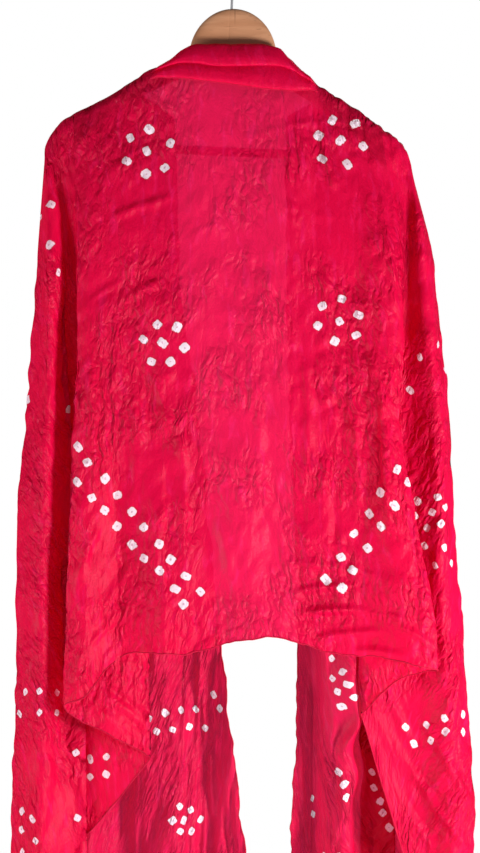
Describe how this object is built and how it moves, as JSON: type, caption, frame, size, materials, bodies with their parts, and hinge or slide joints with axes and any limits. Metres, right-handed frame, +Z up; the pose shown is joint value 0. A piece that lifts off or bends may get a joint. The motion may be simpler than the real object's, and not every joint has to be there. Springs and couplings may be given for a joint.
{
  "type": "bandhani cloth on a clothes hanger",
  "caption": "Sheer tie-dyed bandhani cloth draped like a shawl round a wooden clothes hanger, with a rolled collar and cascading side folds.",
  "frame": {"origin": "inside top of the hook, where the rail carries it", "axes": "+Z up, -Y out of the shawl's back with its rolled collar, +X along the hanger to the right as seen from that side"},
  "size_m": [0.5702, 0.1212, 1.3764],
  "materials": {
    "cloth": "sheer crinkled silk with a soft sheen, crimson with pale pink tie-dyed dots",
    "wood": "satin varnish over plain beech",
    "steel": "bright wire"
  },
  "bodies": {
    "root": {"bandhani_cloth": "cloth", "hanger_yoke": "wood", "hanger_bar": "wood", "hanger_hook": "steel"}
  },
  "joints": []
}
